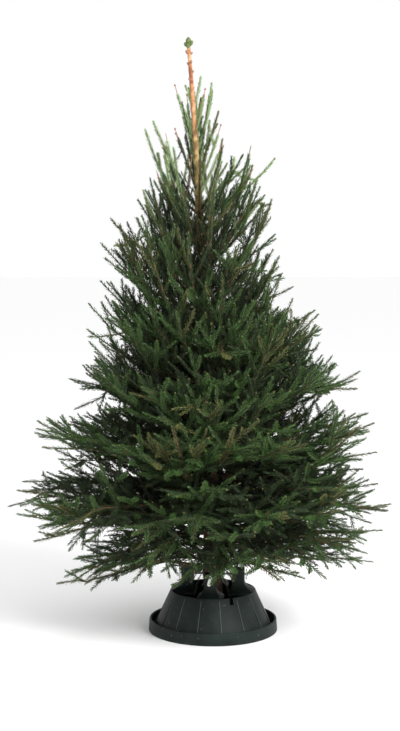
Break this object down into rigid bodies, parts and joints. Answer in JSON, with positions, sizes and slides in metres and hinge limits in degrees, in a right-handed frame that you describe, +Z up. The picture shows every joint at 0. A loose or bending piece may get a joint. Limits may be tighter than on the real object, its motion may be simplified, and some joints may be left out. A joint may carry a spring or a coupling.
{
  "type": "christmas tree",
  "caption": "Undecorated cut spruce Christmas tree with a bare leader and upswept whorled boughs, held by thumb screws in a round conical plastic water stand.",
  "frame": {"origin": "the middle of the stand's flat underside, on the floor", "axes": "+Z up along the trunk, +X towards the side away from the trunk's lean, +Y towards the back"},
  "size_m": [1.2506, 1.0665, 2.025],
  "materials": {
    "stand_plastic": "dusty, slightly glossy dark green moulded plastic",
    "steel": "dull zinc plating",
    "bark": "thin flaking bark, grey-brown below and orange-tan above",
    "foliage": "dark green needles with fresher tips"
  },
  "bodies": {
    "root": {"stand": "stand_plastic", "screw_1": "steel", "screw_2": "steel", "screw_3": "steel", "screw_4": "steel", "trunk": "bark", "foliage_1_1": "foliage", "foliage_1_2": "foliage", "foliage_1_3": "foliage", "foliage_2_1": "foliage", "foliage_2_2": "foliage", "foliage_2_3": "foliage", "bough_3_1": "bark", "foliage_3_1": "foliage", "bough_3_2": "bark", "foliage_3_2": "foliage", "bough_3_3": "bark", "foliage_3_3": "foliage", "bough_3_4": "bark", "foliage_3_4": "foliage", "foliage_4_1": "foliage", "foliage_4_2": "foliage", "foliage_4_3": "foliage", "foliage_4_4": "foliage", "foliage_5_1": "foliage", "foliage_5_2": "foliage", "foliage_5_3": "foliage", "foliage_5_4": "foliage", "foliage_6_1": "foliage", "foliage_6_2": "foliage", "foliage_6_3": "foliage", "foliage_6_4": "foliage", "foliage_6_5": "foliage", "foliage_7_1": "foliage", "foliage_7_2": "foliage", "foliage_7_3": "foliage", "foliage_7_4": "foliage", "foliage_7_5": "foliage", "foliage_8_1": "foliage", "foliage_8_2": "foliage", "foliage_8_3": "foliage", "foliage_8_4": "foliage", "foliage_8_5": "foliage", "foliage_9_1": "foliage", "foliage_9_2": "foliage", "foliage_9_3": "foliage", "foliage_9_4": "foliage", "foliage_9_5": "foliage", "bough_10_1": "bark", "foliage_10_1": "foliage", "bough_10_2": "bark", "foliage_10_2": "foliage", "bough_10_3": "bark", "foliage_10_3": "foliage", "bough_10_4": "bark", "foliage_10_4": "foliage", "bough_10_5": "bark", "foliage_10_5": "foliage", "bough_10_6": "bark", "foliage_10_6": "foliage"}
  },
  "joints": []
}
